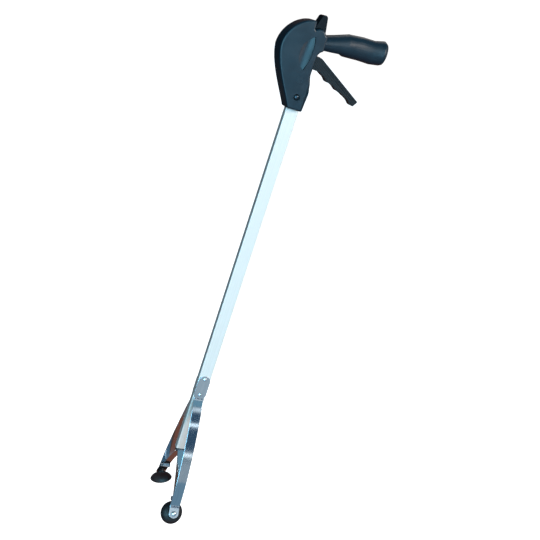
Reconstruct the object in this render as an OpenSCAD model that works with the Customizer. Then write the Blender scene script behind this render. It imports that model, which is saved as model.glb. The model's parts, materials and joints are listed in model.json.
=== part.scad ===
// Long-reach pick-up tool with suction-cup jaws. Millimetres, +Z from the jaws up to the handle.
// Origin: on the tube axis, level with the lower end of the handle's nose.
// The grip points along +X and the jaws open along +Y and -Y.

/* [Tube] */
// Width of the flat tube along X
tube_w = 19.05; // [17:0.05:20]
// Thickness of the flat tube along Y
tube_t = 9.5; // [9:0.1:10]
// Wall thickness of the tube
tube_wall = 1.2; // [1:0.1:1.3]
// Length of bare tube below the nose
tube_drop = 533; // [400:1:800]

/* [Handle] */
// Thickness of the handle housing along Y
housing_t = 27; // [25:0.5:30]
// Distance from the tube axis to the back of the head
head_back = 47; // [44:1:52]
// Height of the head above the nose
head_top = 119.5; // [117:0.5:124]
// Distance from the tube axis to the end of the grip
grip_reach = 102.5; // [98:0.5:120]
// Half width of the grip along Y
grip_half_w = 12.6; // [12:0.2:14]
// Depth of the crescent thumb recess
recess_depth = 4.2; // [3:0.2:4.8]

/* [Trigger] */
// Thickness of the trigger along Y
trigger_t = 13; // [12:0.5:13.5]
// Distance from the trigger pivot to the tube axis
lever_arm = 20.5; // [20:0.1:21]
// Height of the trigger pivot above the nose
pivot_z = 64; // [63:0.5:65]
// Height of the finger ridges under the trigger
ridge_h = 2.4; // [1:0.2:3]

/* [Jaws] */
// Width of the sprung finger strips
finger_w = 15; // [13:0.5:17]
// Thickness of the sprung finger strips
finger_t = 1; // [0.8:0.1:1.2]
// Distance from the tube axis to a fingertip rivet
tip_spread = 56.5; // [52:0.5:60]
// Tilt of a fingertip tab from the tube axis
tab_tilt = 26; // [20:1:32]
// Outward bow of the near finger
near_bow = 10; // [0:0.5:12]
// Outward bow of the far finger
far_bow = 3; // [0:0.5:12]
// Width of the pull straps
strap_w = 10; // [7:0.5:10.5]
// Radius of the suction cups at the mouth
cup_r = 17; // [14:0.5:20]
// Height of the suction cups
cup_h = 12.4; // [11:0.2:15]

/* [Show] */
// Which piece to draw

/* [Hidden] */
$fn = 64;
hull_fn = 32;
fit = 0.05;
parting = 0.1;
edge_r = 3;
half_t = housing_t / 2;
shell_wall = 3.2;
scoop_r = 18;
scoop_x = -11;
scoop_lean = 3.4;

// Tube stations, measured from the origin
tube_in_head = 32;
tube_end = -tube_drop;
tube_corner = 0.9;

// Jaw stations, measured up from the tube end so that the jaws follow a longer tube
rivet_up_z = tube_end + 119.2;
rivet_low_z = tube_end + 93.8;
strip_top_z = tube_end + 124.4;
bend_z = tube_end + 87;
tab_z = tube_end - 80;
tab_reach = 12;
tab_inset = 0.2;
tab_t = finger_t + 0.3;
rivet_r = 1.5;
rivet_head_r = 2.7;
rivet_tail = 0.9;

// Crosshead and straps
head_pin_z = tube_end - 4;
head_pin_y = 1.55;
head_pin_r = 0.7;
eye_r = 1.4;
strap_t = 0.7;
tip_pin_y = tip_spread - 11.8;
tip_pin_z = tab_z + 19;
tip_pin_r = 1.2;
loop_bore_r = 2.9;
loop_r = 3.6;
rod_r = 1.6;

// Trigger
pivot_x = -lever_arm;
pivot_r = 2.5;
hub_r = 7;
cross_r = 2;
slot_r = cross_r + 0.6;
fork_gap = 6.2;
yoke_t = 5;

// Lock lever
lock_x = 1;
lock_z = 100;
lock_r = 1.5;
lock_t = 10;
lock_pad_t = 17;
lock_seat_r = 10;

// Housing fasteners: shank radius, head radius and seats
screw_r = 1.6;
screw_head_r = 3.1;
screw_head_h = 2.4;
screw_seat_y = half_t - 3.4;
screw_deep = 9.5;
screw_seats = [[-36, 74], [-13, 108], [-7.3, 39.6], [26, 99], [96, 105]];
tube_screw_x = -3;
tube_screw_z = 17;

function bezier(a, b, c, d, n) =
    [for (i = [0 : n - 1]) let (t = i / n, u = 1 - t)
        u * u * u * a + 3 * u * u * t * b + 3 * u * t * t * c + t * t * t * d];

// Unit vector across a path, from the point before it to the point after it
function across(p, i) =
    let (a = p[max(i - 1, 0)], b = p[min(i + 1, len(p) - 1)], d = b - a)
    [-d[1], d[0]] / norm(d);

function ribbon(p, t) =
    concat([for (i = [0 : len(p) - 1]) p[i] + across(p, i) * t / 2],
           [for (i = [len(p) - 1 : -1 : 0]) p[i] - across(p, i) * t / 2]);

// Draws a shape given in X and Z, as a plate centred on Y = 0
module plate_y(t) {
    rotate([90, 0, 0])
        linear_extrude(height = t, center = true)
            children();
}

// Draws a shape given in Y and Z, as a plate centred on X = 0
module plate_x(t) {
    rotate([90, 0, 90])
        linear_extrude(height = t, center = true)
            children();
}

// A round bar along Y, from y0 to y1
module bar_y(x, z, r, y0, y1) {
    translate([x, y0, z])
        rotate([-90, 0, 0])
            cylinder(r = r, h = y1 - y0);
}

// A round bar along X, centred
module bar_x(y, z, r, l) {
    translate([-l / 2, y, z])
        rotate([0, 90, 0])
            cylinder(r = r, h = l);
}

// ---- Handle housing ----

head_points = concat(
    bezier([-11.5, 0], [-18, 14], [2 - head_back, 50], [-head_back, 76], 14),
    bezier([-head_back, 76], [-head_back, 98], [-28, head_top - 2.5], [-9, head_top - 1], 14),
    [[-9, head_top - 1], [-7.4, 116], [-7, 108]],
    [for (a = [134 : -12 : 26]) [lock_x + lock_seat_r * cos(a), lock_z + lock_seat_r * sin(a)]],
    [[13.5, 104.2], [13.5, 84]],
    bezier([13, 83], [10, 82], [6.8, 79], [6.6, 72], 5),
    bezier([6.6, 50], [7, 44], [14.4, 30], [11.6, 20], 7),
    [[10.9, 0]]);

module head_outline() {
    polygon(head_points);
}

module head_body() {
    minkowski() {
        plate_y(housing_t - 2 * edge_r)
            offset(delta = -edge_r)
                head_outline();
        sphere(r = edge_r, $fn = 24);
    }
}

// One cross-section of the grip: X place, centre height, half height, half width
module grip_slice(x, z, hh, hw) {
    translate([x, 0, z])
        rotate([0, 90, 0])
            scale([hh, hw, 1])
                cylinder(r = 1, h = 1, $fn = hull_fn);
}

grip_slices = [
    [2, 91.6, 9.6, grip_half_w + 0.6],
    [26, 96.1, 12.7, grip_half_w + 0.3],
    [45, 100.2, 15.2, grip_half_w + 0.3],
    [66, 102, 15.8, grip_half_w - 1],
    [84, 102.2, 16, grip_half_w - 0.9],
    [grip_reach - 5, 105, 16.6, grip_half_w + 0.8],
    [grip_reach - 1, 104.6, 14.4, grip_half_w - 1]];

module grip_body() {
    for (i = [0 : len(grip_slices) - 2])
        hull() {
            grip_slice(grip_slices[i][0], grip_slices[i][1], grip_slices[i][2], grip_slices[i][3]);
            grip_slice(grip_slices[i + 1][0], grip_slices[i + 1][1],
                       grip_slices[i + 1][2], grip_slices[i + 1][3]);
        }
}

module crescent_outline(grow) {
    intersection() {
        translate([8.1, 74.5])
            circle(r = 26.7 + grow);
        translate([-70, 80])
            circle(r = 69 + grow);
    }
}

// Cutter of the thumb recess, for the side given by s; a scoop, deepest near its curved back
module crescent_cut(s) {
    intersection() {
        plate_y(100)
            crescent_outline(0);
        translate([scoop_x, s * (half_t + scoop_r - recess_depth), 76])
            rotate([0, scoop_lean, 0])
                cylinder(r = scoop_r, h = 90, center = true, $fn = 180);
    }
}

module head_cavity() {
    difference() {
        intersection() {
            plate_y(housing_t - 2 * shell_wall)
                offset(delta = -shell_wall)
                    head_outline();
            translate([-80, -40, 48])
                cube([140, 80, 100]);
        }
        for (s = [-1, 1])
            translate([0, s * (7.2 + 10), 0])
                plate_y(20)
                    crescent_outline(2);
    }
}

module grip_cavity() {
    translate([40, -8, 94.5])
        cube([44, 16, 15]);
}

// Space swept by the trigger, open at the right of the head and under the grip
module trigger_space() {
    plate_y(trigger_t + 1.6)
        polygon([[-32, 50], [60, 50], [60, 78], [43, 86], [38, 90.5], [-6, 90.5], [-32, 78]]);
}

module lock_space() {
    plate_y(lock_t + 1.2)
        polygon([[-7, 89], [8, 89], [10.5, 103], [10.5, 125], [-6, 125]]);
}

module tube_space() {
    translate([-tube_w / 2 - fit, -tube_t / 2 - fit, -5])
        cube([tube_w + 2 * fit, tube_t + 2 * fit, tube_in_head + 5]);
    translate([-6, -4, 0])
        cube([12, 8, 60]);
}

module housing_half(s) {
    difference() {
        union() {
            difference() {
                union() {
                    head_body();
                    grip_body();
                }
                head_cavity();
                grip_cavity();
            }
            intersection() {
                plate_y(housing_t - edge_r)
                    offset(delta = -edge_r)
                        head_outline();
                union() {
                    for (p = screw_seats)
                        bar_y(p[0], p[1], 4.6, -half_t, half_t);
                    for (k = [-1, 1]) {
                        bar_y(pivot_x, pivot_z, 5, min(k * 7.1, k * 13), max(k * 7.1, k * 13));
                        bar_y(lock_x, lock_z, 4.5, min(k * 5.8, k * 13), max(k * 5.8, k * 13));
                    }
                }
            }
        }
        trigger_space();
        lock_space();
        tube_space();
        crescent_cut(s);
        bar_y(pivot_x, pivot_z, pivot_r + 0.01, -11, 11);
        bar_y(lock_x, lock_z, lock_r + 0.01, -11, 11);
        for (p = screw_seats) {
            bar_y(p[0], p[1], screw_r + fit, -screw_deep, half_t);
            bar_y(p[0], p[1], screw_head_r + 0.3, screw_seat_y, half_t + 5);
        }
        for (k = [-1, 1]) {
            bar_y(tube_screw_x, tube_screw_z, 2 + fit, min(0, k * 20), max(0, k * 20));
            bar_y(tube_screw_x, tube_screw_z, 4.6,
                  min(k * (half_t - 2.6), k * 20), max(k * (half_t - 2.6), k * 20));
        }
        for (k = [-1, 1])
            translate([11.2, k * half_t, -5])
                rotate([0, 0, 45])
                    cube([5.4, 5.4, 90], center = true);
        if (s < 0)
            difference() {
                bar_y(screw_seats[2][0], screw_seats[2][1], 4.8, -half_t - 1, 0.4 - half_t);
                bar_y(screw_seats[2][0], screw_seats[2][1], 4, -half_t - 2, half_t);
            }
        translate([-100, s > 0 ? parting - 60 : -parting, -20])
            cube([260, 60, 180]);
    }
}

module near_housing_shell() {
    color([0.07, 0.09, 0.11])
        housing_half(-1);
}

module far_housing_shell() {
    color([0.07, 0.09, 0.11])
        housing_half(1);
}

module housing_screws() {
    color([0.45, 0.46, 0.48])
        for (p = screw_seats)
            difference() {
                union() {
                    bar_y(p[0], p[1], screw_r, 0.4 - screw_deep, screw_seat_y + 1);
                    bar_y(p[0], p[1], screw_head_r, screw_seat_y, screw_seat_y + screw_head_h);
                }
                translate([p[0] - 2, half_t - 2, p[1] - 0.4])
                    cube([4, 5, 0.8]);
                translate([p[0] - 0.4, half_t - 2, p[1] - 2])
                    cube([0.8, 5, 4]);
            }
}

// Domed screws that hold the tube in the nose; their tips stop short of the pull rod
module tube_screws() {
    color([0.12, 0.13, 0.15])
        for (k = [-1, 1])
            translate([tube_screw_x, 0, tube_screw_z])
                rotate([k * 90, 0, 0])
                    translate([0, 0, -half_t])
                        rotate_extrude()
                            polygon([[0, 0.3], [1.6, 0.5], [3, 1.1], [4, 2.6],
                                     [2, 2.6], [2, 10.6], [0, 10.6]]);
}

module flat_tube() {
    color([0.82, 0.85, 0.88])
        difference() {
            translate([0, 0, tube_end])
                union() {
                    translate([tube_corner - tube_w / 2, -tube_t / 2, 0])
                        cube([tube_w - 2 * tube_corner, tube_t, tube_drop + tube_in_head]);
                    translate([-tube_w / 2, tube_corner - tube_t / 2, 0])
                        cube([tube_w, tube_t - 2 * tube_corner, tube_drop + tube_in_head]);
                    for (i = [-1, 1])
                        for (k = [-1, 1])
                            translate([i * (tube_w / 2 - tube_corner), k * (tube_t / 2 - tube_corner), 0])
                                cylinder(r = tube_corner, h = tube_drop + tube_in_head);
                }
            translate([tube_wall - tube_w / 2, tube_wall - tube_t / 2, tube_end - 1])
                cube([tube_w - 2 * tube_wall, tube_t - 2 * tube_wall, tube_drop + tube_in_head + 2]);
            bar_y(tube_screw_x, tube_screw_z, 2 + fit, -20, 20);
            for (z = [rivet_up_z, rivet_low_z])
                bar_y(0, z, rivet_r + fit, -20, 20);
        }
}

// ---- Trigger and lock ----

module trigger_pivot_pin() {
    color([0.7, 0.72, 0.75])
        bar_y(pivot_x, pivot_z, pivot_r, -10.8, 10.8);
}

module lock_pivot_pin() {
    color([0.7, 0.72, 0.75])
        bar_y(lock_x, lock_z, lock_r, -10.8, 10.8);
}

trigger_root = [21.3, 72];
trigger_run = 74.5;
trigger_slope = 30.4;

function ridge(s, at, wide) = exp(-pow((s - at) / wide, 2));
function trigger_depth(s) =
    14.1 - 0.105 * max(s - 10, 0) + ridge_h * ridge(s, 23, 4.5)
    + 0.6 * ridge_h * ridge(s, 41, 4.5) + ridge_h * ridge(s, 71, 5);

module trigger_outline() {
    polygon([[8, 57.5], [8, 70], [8.8, 74.6], [13, 75.4], [17.5, 74.2], trigger_root,
             trigger_root - [0, 14], [17, 57]]);
    translate(trigger_root)
        rotate(-trigger_slope)
            polygon(concat([[-2, 0], [trigger_run, 0], [trigger_run + 0.6, -2]],
                           [for (s = [trigger_run : -2 : 4]) [s, -trigger_depth(s)]],
                           [[-6, -14.1]]));
}

module trigger_lever() {
    color([0.08, 0.1, 0.12])
        difference() {
            union() {
                plate_y(trigger_t)
                    trigger_outline();
                plate_y(trigger_t)
                    hull() {
                        translate([pivot_x, pivot_z])
                            circle(r = hub_r, $fn = hull_fn);
                        translate([9, pivot_z])
                            circle(r = 6.2, $fn = hull_fn);
                    }
            }
            bar_y(pivot_x, pivot_z, pivot_r + fit, -20, 20);
            translate([-9.5, -fork_gap / 2, 40])
                cube([17.1, fork_gap, 50]);
            for (x = [-0.4, 1, 2.2])
                bar_y(x, pivot_z, slot_r, -20, 20);
            translate([-0.4, -20, pivot_z - slot_r])
                cube([2.6, 40, 2 * slot_r]);
            for (k = [-1, 1])
                for (d = [2.6, 5])
                    translate([trigger_root[0], k * trigger_t / 2, trigger_root[1]])
                        rotate([0, trigger_slope, 0])
                            translate([4, -0.5, -d - 0.5])
                                cube([64, 1, 1]);
        }
}

// The pad's underside follows an arc about the pivot, just above the seat on the head
module lock_lever() {
    color([0.08, 0.1, 0.12])
        difference() {
            union() {
                plate_y(lock_pad_t)
                    difference() {
                        hull() {
                            translate([2.4, 124.2])
                                circle(r = 3.9, $fn = hull_fn);
                            translate([-3.2, 111])
                                circle(r = 2.6, $fn = hull_fn);
                            translate([6.6, 108.2])
                                circle(r = 2.6, $fn = hull_fn);
                        }
                        translate([lock_x, lock_z])
                            circle(r = lock_seat_r + 0.5);
                    }
                plate_y(lock_t)
                    polygon([[-4, 99], [-2.4, 91.6], [3.6, 91.6], [6, 99], [5, 112], [-3, 112]]);
            }
            bar_y(lock_x, lock_z, lock_r + fit, -20, 20);
        }
}

// ---- Pull rod ----

module pull_rod() {
    color([0.68, 0.7, 0.73])
        translate([0, 0, head_pin_z + 12])
            cylinder(r = rod_r, h = 54 - head_pin_z - 12);
}

module rod_yoke() {
    color([0.6, 0.62, 0.65])
        difference() {
            union() {
                translate([-3.4, -yoke_t / 2, 46])
                    cube([6.8, yoke_t, pivot_z - 46]);
                bar_y(0, pivot_z, 4.4, -yoke_t / 2, yoke_t / 2);
            }
            bar_y(0, pivot_z, cross_r + fit, -20, 20);
            translate([0, 0, 40])
                cylinder(r = rod_r + fit, h = 14);
        }
}

module rod_cross_pin() {
    color([0.7, 0.72, 0.75])
        bar_y(0, pivot_z, cross_r, -6.3, 6.3);
}

module crosshead() {
    color([0.16, 0.17, 0.19])
        difference() {
            translate([-8, -3.2, head_pin_z - 2])
                cube([16, 6.4, 24]);
            translate([-strap_w / 2 - 0.5, -5, head_pin_z - 5])
                cube([strap_w + 1, 10, 9.5]);
            translate([0, 0, head_pin_z + 11.9])
                cylinder(r = rod_r + fit, h = 20);
            for (k = [-1, 1])
                bar_x(k * head_pin_y, head_pin_z, head_pin_r + fit, 30);
        }
}

module crosshead_pins() {
    color([0.7, 0.72, 0.75])
        for (k = [-1, 1])
            bar_x(k * head_pin_y, head_pin_z, head_pin_r, 15.8);
}

// ---- Jaws, drawn for the +Y side and mirrored for the near side ----

tab_dir = [sin(tab_tilt), -cos(tab_tilt)];
tab_centre = [tip_spread, tab_z];
crease = tab_centre - tab_dir * tab_reach;
bend = [tube_t / 2 + finger_t / 2, bend_z];

function finger_path(bow) = concat(
    bezier(bend, bend + [11 + bow, -34], crease + [-8 + 0.85 * bow, 46], crease, 16),
    [crease, crease + 2 * tab_dir]);

strap_path = let (a = [head_pin_y, head_pin_z], b = [tip_pin_y, tip_pin_z], d = b - a, m = norm(d))
    concat([a + d * (eye_r - 0.25) / m],
           bezier(a + d * 0.12, a + d * 0.35 + [1.6, 0.6], a + d * 0.7 + [1.6, 0.6], a + d * 0.86, 6),
           [b - d * (loop_r - 0.35) / m]);

module finger_root() {
    translate([0, bend[0], 0])
        difference() {
            union() {
                translate([-9.5, -finger_t / 2, rivet_low_z - 5])
                    cube([19, finger_t, strip_top_z - 9.5 - rivet_low_z + 5]);
                bar_y(0, strip_top_z - 9.5, 9.5, -finger_t / 2, finger_t / 2);
                translate([-finger_w / 2, -finger_t / 2, bend_z + 0.3])
                    cube([finger_w, finger_t, rivet_low_z - bend_z - 4]);
            }
            for (z = [rivet_up_z, rivet_low_z])
                bar_y(0, z, rivet_r + fit, -20, 20);
        }
}

// A strip that leaves the tube at the bend, with a round riveting tab and two pin ears at its tip
module finger(bow) {
    path = finger_path(bow);
    difference() {
        union() {
            plate_x(finger_w)
                polygon(ribbon(path, finger_t));
            translate([0, tab_centre[0], tab_centre[1]])
                rotate([tab_tilt, 0, 0])
                    plate_y(tab_t)
                        union() {
                            circle(r = finger_w / 2 - tab_inset);
                            translate([tab_inset - finger_w / 2, 0])
                                square([finger_w - 2 * tab_inset, tab_reach - 0.6]);
                        }
            for (k = [-1, 1])
                translate([k * (finger_w / 2 - 0.8), 0, 0])
                    plate_x(1.2)
                        polygon([path[15], [tip_pin_y + 1, tip_pin_z - 3.2],
                                 [tip_pin_y - 2.6, tip_pin_z - 2], [tip_pin_y - 2.6, tip_pin_z + 2],
                                 [tip_pin_y + 1, tip_pin_z + 3.2], path[13]]);
        }
        bar_x(tip_pin_y, tip_pin_z, tip_pin_r + fit, 40);
        translate([0, tab_centre[0], tab_centre[1]])
            rotate([tab_tilt, 0, 0])
                bar_y(0, 0, 2 + fit, -20, 20);
    }
}

module tip_pin() {
    bar_x(tip_pin_y, tip_pin_z, tip_pin_r, finger_w - 0.6);
}

module cup_rivet() {
    translate([0, tab_centre[0], tab_centre[1]])
        rotate([tab_tilt, 0, 0])
            rotate([90, 0, 0])
                rotate_extrude()
                    polygon([[0, -tab_t / 2 - 1.6], [1.7, -tab_t / 2 - 1.4], [3.2, -tab_t / 2 - 0.7],
                             [3.9, -tab_t / 2], [2, -tab_t / 2], [2, 5.2], [0, 5.2]]);
}

// The cup's axis leaves the inside of the tab; its mouth ends in a flat ring
module suction_cup() {
    h0 = tab_t / 2;
    translate([0, tab_centre[0], tab_centre[1]])
        rotate([tab_tilt, 0, 0])
            rotate([90, 0, 0])
                difference() {
                    rotate_extrude()
                        polygon([[0, h0], [5.6, h0], [6.2, h0 + 0.8], [5.6, h0 + 3.4], [6.6, h0 + 4.6],
                                 [11, h0 + 6.4], [15, h0 + 9], [cup_r, cup_h],
                                 [cup_r - 1.6, cup_h], [12.6, cup_h - 2.6],
                                 [8, cup_h - 4.8], [4, cup_h - 5.8], [0, cup_h - 6]]);
                    cylinder(r = 2 + fit, h = 5.2 + fit);
                }
}

// A strap rolled into a bearing eye at the crosshead and into a loose loop at the fingertip
module pull_strap() {
    difference() {
        union() {
            plate_x(strap_w)
                polygon(ribbon(strap_path, strap_t));
            bar_x(head_pin_y, head_pin_z, eye_r, strap_w);
            bar_x(tip_pin_y, tip_pin_z, loop_r, strap_w);
        }
        bar_x(head_pin_y, head_pin_z, head_pin_r + fit, 40);
        bar_x(tip_pin_y, tip_pin_z, loop_bore_r, 40);
    }
}

module near_side() {
    mirror([0, 1, 0])
        children();
}

module near_finger_root() {
    color([0.75, 0.78, 0.82])
        near_side()
            finger_root();
}

module far_finger_root() {
    color([0.75, 0.78, 0.82])
        finger_root();
}

// Blind rivets through each strip and one tube wall; their tails clear the pull rod
module finger_rivets() {
    tail = tube_t / 2 - tube_wall - rivet_tail;
    seat = tube_t / 2 + finger_t;
    color([0.8, 0.82, 0.85])
        for (k = [-1, 1])
            for (z = [rivet_up_z, rivet_low_z])
                translate([0, 0, z])
                    rotate([-k * 90, 0, 0])
                        rotate_extrude()
                            polygon([[0, tail], [rivet_r, tail], [rivet_r, seat],
                                     [rivet_head_r, seat], [2.2, seat + 0.6],
                                     [1.2, seat + 0.9], [0, seat + 1]]);
}

module near_finger() {
    color([0.75, 0.78, 0.82])
        near_side()
            finger(near_bow);
}

module far_finger() {
    color([0.75, 0.78, 0.82])
        finger(far_bow);
}

module near_tip_pin() {
    color([0.7, 0.72, 0.75])
        near_side()
            tip_pin();
}

module far_tip_pin() {
    color([0.7, 0.72, 0.75])
        tip_pin();
}

module near_suction_cup() {
    color([0.05, 0.05, 0.06])
        near_side()
            suction_cup();
}

module far_suction_cup() {
    color([0.05, 0.05, 0.06])
        suction_cup();
}

module near_cup_rivet() {
    color([0.8, 0.82, 0.85])
        near_side()
            cup_rivet();
}

module far_cup_rivet() {
    color([0.8, 0.82, 0.85])
        cup_rivet();
}

module near_pull_strap() {
    color([0.72, 0.75, 0.79])
        near_side()
            pull_strap();
}

module far_pull_strap() {
    color([0.72, 0.75, 0.79])
        pull_strap();
}

near_housing_shell();
far_housing_shell();
housing_screws();
tube_screws();
flat_tube();
trigger_pivot_pin();
lock_pivot_pin();
trigger_lever();
lock_lever();
pull_rod();
rod_yoke();
rod_cross_pin();
crosshead();
crosshead_pins();
near_finger_root();
far_finger_root();
finger_rivets();
near_finger();
near_tip_pin();
near_suction_cup();
near_cup_rivet();
near_pull_strap();
far_finger();
far_tip_pin();
far_suction_cup();
far_cup_rivet();
far_pull_strap();
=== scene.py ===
"""Looks of a long-reach pick-up tool: pistol handle, flat tube, two sprung fingers with cups.

Everything is in metres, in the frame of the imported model: +Z runs from the jaws up to the handle,
the grip points along +X, and the jaws open along +Y and -Y.
"""
from __future__ import annotations

import json
import logging
import math
from dataclasses import dataclass, field
from enum import Enum
from typing import Sequence, Union

import bmesh
import bpy
from mathutils import Matrix, Vector

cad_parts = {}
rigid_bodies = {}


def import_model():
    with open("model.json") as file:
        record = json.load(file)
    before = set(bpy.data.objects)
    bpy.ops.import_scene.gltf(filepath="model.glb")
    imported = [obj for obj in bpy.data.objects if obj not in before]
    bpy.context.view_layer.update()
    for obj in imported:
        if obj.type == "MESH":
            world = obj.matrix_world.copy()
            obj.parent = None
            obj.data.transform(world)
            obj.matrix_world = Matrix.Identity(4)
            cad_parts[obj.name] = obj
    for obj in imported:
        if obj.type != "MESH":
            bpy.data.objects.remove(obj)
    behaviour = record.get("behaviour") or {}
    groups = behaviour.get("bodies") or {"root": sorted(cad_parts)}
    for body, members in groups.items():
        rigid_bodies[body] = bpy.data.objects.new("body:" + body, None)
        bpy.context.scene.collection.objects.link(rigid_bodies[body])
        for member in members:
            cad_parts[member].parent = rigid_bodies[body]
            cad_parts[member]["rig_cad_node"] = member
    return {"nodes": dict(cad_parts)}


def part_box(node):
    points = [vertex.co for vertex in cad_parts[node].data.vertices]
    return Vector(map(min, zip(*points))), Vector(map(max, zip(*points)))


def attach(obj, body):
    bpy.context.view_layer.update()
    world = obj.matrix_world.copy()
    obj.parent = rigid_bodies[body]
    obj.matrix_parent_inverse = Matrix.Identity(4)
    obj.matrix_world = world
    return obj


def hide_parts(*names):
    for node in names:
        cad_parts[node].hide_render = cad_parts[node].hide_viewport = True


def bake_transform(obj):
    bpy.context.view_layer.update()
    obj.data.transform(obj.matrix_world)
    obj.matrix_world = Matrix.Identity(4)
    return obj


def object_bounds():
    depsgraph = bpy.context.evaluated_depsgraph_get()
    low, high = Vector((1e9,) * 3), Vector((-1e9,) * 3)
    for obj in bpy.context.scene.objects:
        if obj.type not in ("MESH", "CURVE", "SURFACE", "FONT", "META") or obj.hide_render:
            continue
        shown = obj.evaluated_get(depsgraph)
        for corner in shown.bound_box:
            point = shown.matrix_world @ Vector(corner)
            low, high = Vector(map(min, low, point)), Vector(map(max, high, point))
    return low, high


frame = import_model()
CAD_LOW, CAD_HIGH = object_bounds()

MM = 0.001
WELD_GAP = 0.002 * MM
SHARP_TURN = math.radians(50)
SOFT_TURN = math.radians(38)
ON_AXIS = 1e-6
LOG = logging.getLogger("reaching_aid")

Pair = tuple[float, float]
Triple = tuple[float, float, float]
Source = Union[float, tuple, bpy.types.NodeSocket]


class Side(Enum):
    """Which side of the centre plane a piece is on."""

    NEAR = -1
    FAR = 1

    @property
    def label(self) -> str:
        """The word that starts the names of this side's pieces.

        Returns:
            The word.
        """
        return self.name.lower()


# ---------------------------------------------------------------- node wiring


class Bench:
    """Places and wires the nodes of one node tree."""

    def __init__(self, tree: bpy.types.NodeTree) -> None:
        """Starts on an empty tree.

        Args:
            tree: the material, world or group tree to fill.
        """
        self.tree = tree
        tree.nodes.clear()

    def put(self, kind: str, options: dict | None = None, **inputs: Source) -> bpy.types.Node:
        """Adds one node.

        Args:
            kind: the node's type name.
            options: the node's own settings, by name.
            **inputs: values or output sockets for its inputs; an underscore stands for a space.

        Returns:
            The new node.
        """
        node = self.tree.nodes.new(kind)
        for name, value in (options or {}).items():
            setattr(node, name, value)
        for name, source in inputs.items():
            self.feed(node.inputs[name.replace("_", " ")], source)
        return node

    def feed(self, socket: bpy.types.NodeSocket, source: Source) -> None:
        """Links a socket to a source socket, or sets it to a value.

        Args:
            socket: the input to fill.
            source: an output socket, or a value.
        """
        if isinstance(source, bpy.types.NodeSocket):
            self.tree.links.new(source, socket)
        else:
            socket.default_value = source

    def math(self, operation: str, *values: Source) -> bpy.types.NodeSocket:
        """One math node.

        Args:
            operation: the name of the operation.
            *values: its values, in order.

        Returns:
            The result's socket.
        """
        node = self.put("ShaderNodeMath", {"operation": operation})
        for index, value in enumerate(values):
            self.feed(node.inputs[index], value)
        return node.outputs[0]

    def ramp(self, value: Source, low: float, high: float, to: Pair = (0.0, 1.0),
             smooth: bool = False) -> bpy.types.NodeSocket:
        """Maps a value from one range to another, with both ends clamped.

        Args:
            value: what is mapped.
            low: where the result is the first of `to`.
            high: where it is the second of `to`.
            to: the range of the result.
            smooth: whether the ends ease in and out.

        Returns:
            The result's socket.
        """
        kind = "SMOOTHSTEP" if smooth else "LINEAR"
        node = self.put("ShaderNodeMapRange", {"interpolation_type": kind}, Value=value,
                        From_Min=low, From_Max=high, To_Min=to[0], To_Max=to[1])
        return node.outputs["Result"]

    def mix(self, factor: Source, a: Source, b: Source) -> bpy.types.NodeSocket:
        """Mixes two colours.

        Args:
            factor: 0 gives the first colour, 1 the second.
            a: the first colour.
            b: the second colour.

        Returns:
            The mixed colour's socket.
        """
        node = self.put("ShaderNodeMix", {"data_type": "RGBA"})
        for index, source in ((0, factor), (6, a), (7, b)):
            self.feed(node.inputs[index], rgba(source) if isinstance(source, tuple) else source)
        return node.outputs[2]

    def noise(self, place: Source, scale: Source, detail: float) -> bpy.types.NodeSocket:
        """A noise texture's value.

        Args:
            place: the point where it is read.
            scale: how many features there are in a metre.
            detail: how many finer layers are added.

        Returns:
            The noise value's socket.
        """
        node = self.put("ShaderNodeTexNoise", None, Vector=place, Scale=scale, Detail=detail)
        return node.outputs["Fac"]

    def stretched(self, place: Source, scale: Source) -> bpy.types.NodeSocket:
        """Multiplies a point by a scale in each direction.

        Args:
            place: the point.
            scale: the scale in X, Y and Z.

        Returns:
            The stretched point's socket.
        """
        node = self.put("ShaderNodeVectorMath", {"operation": "MULTIPLY"})
        self.feed(node.inputs[0], place)
        self.feed(node.inputs[1], scale)
        return node.outputs[0]

    def object_place(self) -> bpy.types.NodeSocket:
        """Reads the point on the piece.

        Returns:
            The socket of the point, in metres.
        """
        return self.put("ShaderNodeTexCoord").outputs["Object"]

    def bump(self, shader: bpy.types.Node, height: Source, strength: float,
             distance: float) -> None:
        """Turns a height into a shader's normal.

        Args:
            shader: the shader.
            height: the height's socket.
            strength: how strong the bump is.
            distance: how deep one unit of height is, in metres.
        """
        node = self.put("ShaderNodeBump", None, Height=height, Strength=strength,
                        Distance=distance)
        self.feed(shader.inputs["Normal"], node.outputs["Normal"])


def rgba(colour: tuple) -> tuple:
    """Adds full opacity to a colour of three numbers.

    Args:
        colour: three or four numbers.

    Returns:
        Four numbers.
    """
    return colour if len(colour) == 4 else (*colour, 1.0)


class Effect(Enum):
    """The shared surface effects, each a node group that is built once."""

    GRAIN = "moulded_grain"
    WEAR = "edge_wear"
    DUST = "settled_dust"
    DRAWN = "drawn_lines"
    HANDLED = "handling_marks"
    CARD = "studio_card"


@dataclass(frozen=True)
class GroupPlan:
    """The inputs and outputs of one shared effect."""

    inputs: dict[str, float]
    outputs: tuple[str, ...]


PLANS = {
    Effect.GRAIN: GroupPlan({"Scale": 1500.0, "Mottle": 60.0}, ("Height", "Mottling")),
    Effect.WEAR: GroupPlan({"Reach": 0.5, "Breakup": 300.0}, ("Mask",)),
    Effect.DUST: GroupPlan({"Amount": 0.2, "Scale": 500.0}, ("Mask",)),
    Effect.DRAWN: GroupPlan({"Across": 4000.0, "Along": 12.0}, ("Height", "Streaks")),
    Effect.HANDLED: GroupPlan({"Scale": 35.0, "Contrast": 0.5}, ("Mask",)),
    Effect.CARD: GroupPlan({"Elevation": 0.0, "Azimuth": 0.0, "Low": 0.0, "High": 10.0,
                            "Left": -10.0, "Right": 10.0, "Soft": 4.0}, ("Mask",)),
}


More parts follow.
